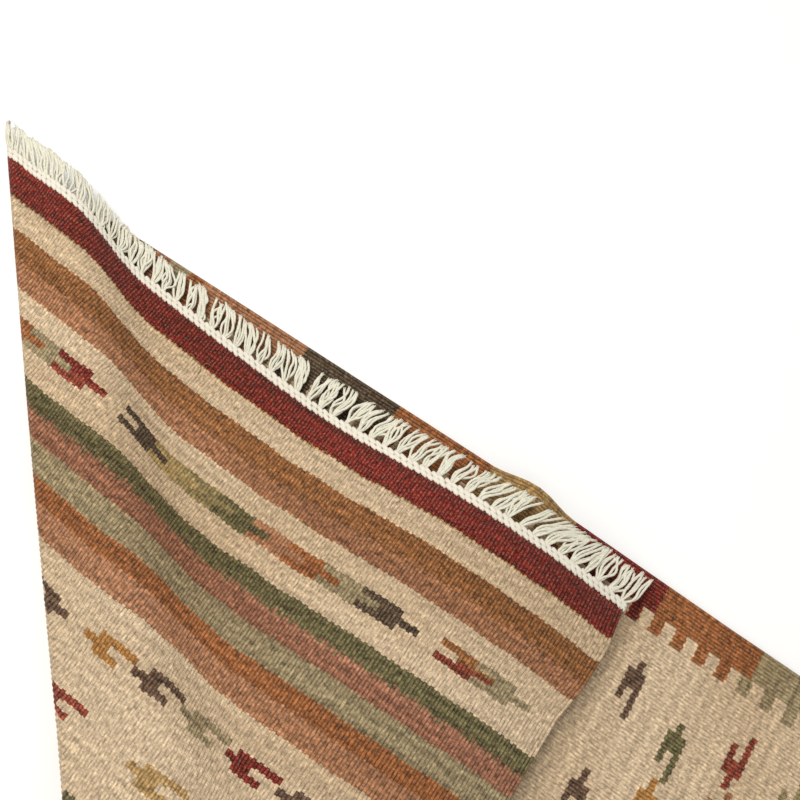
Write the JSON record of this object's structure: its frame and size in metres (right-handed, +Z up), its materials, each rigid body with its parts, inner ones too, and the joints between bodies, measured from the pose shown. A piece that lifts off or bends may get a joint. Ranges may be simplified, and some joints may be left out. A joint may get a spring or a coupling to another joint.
{
  "type": "folded kilim rug",
  "caption": "Flat-woven striped wool rug with a motif band and white cotton fringes, one end folded over on the diagonal.",
  "frame": {"origin": "bottom centre of the box round the folded rug, on the floor", "axes": "+Y along the rug from the folded end to the far end, +Z up, the folded end's fringe on the -X side"},
  "size_m": [0.837, 1.529, 0.1138],
  "materials": {
    "wool": "flat-woven wool in stripes, matt",
    "cotton": "ivory plied cotton, matt"
  },
  "bodies": {
    "root": {"rug_body": "wool", "end_band_folded": "cotton", "end_band_far": "cotton", "fringe_folded": "cotton", "fringe_far": "cotton"}
  },
  "joints": []
}
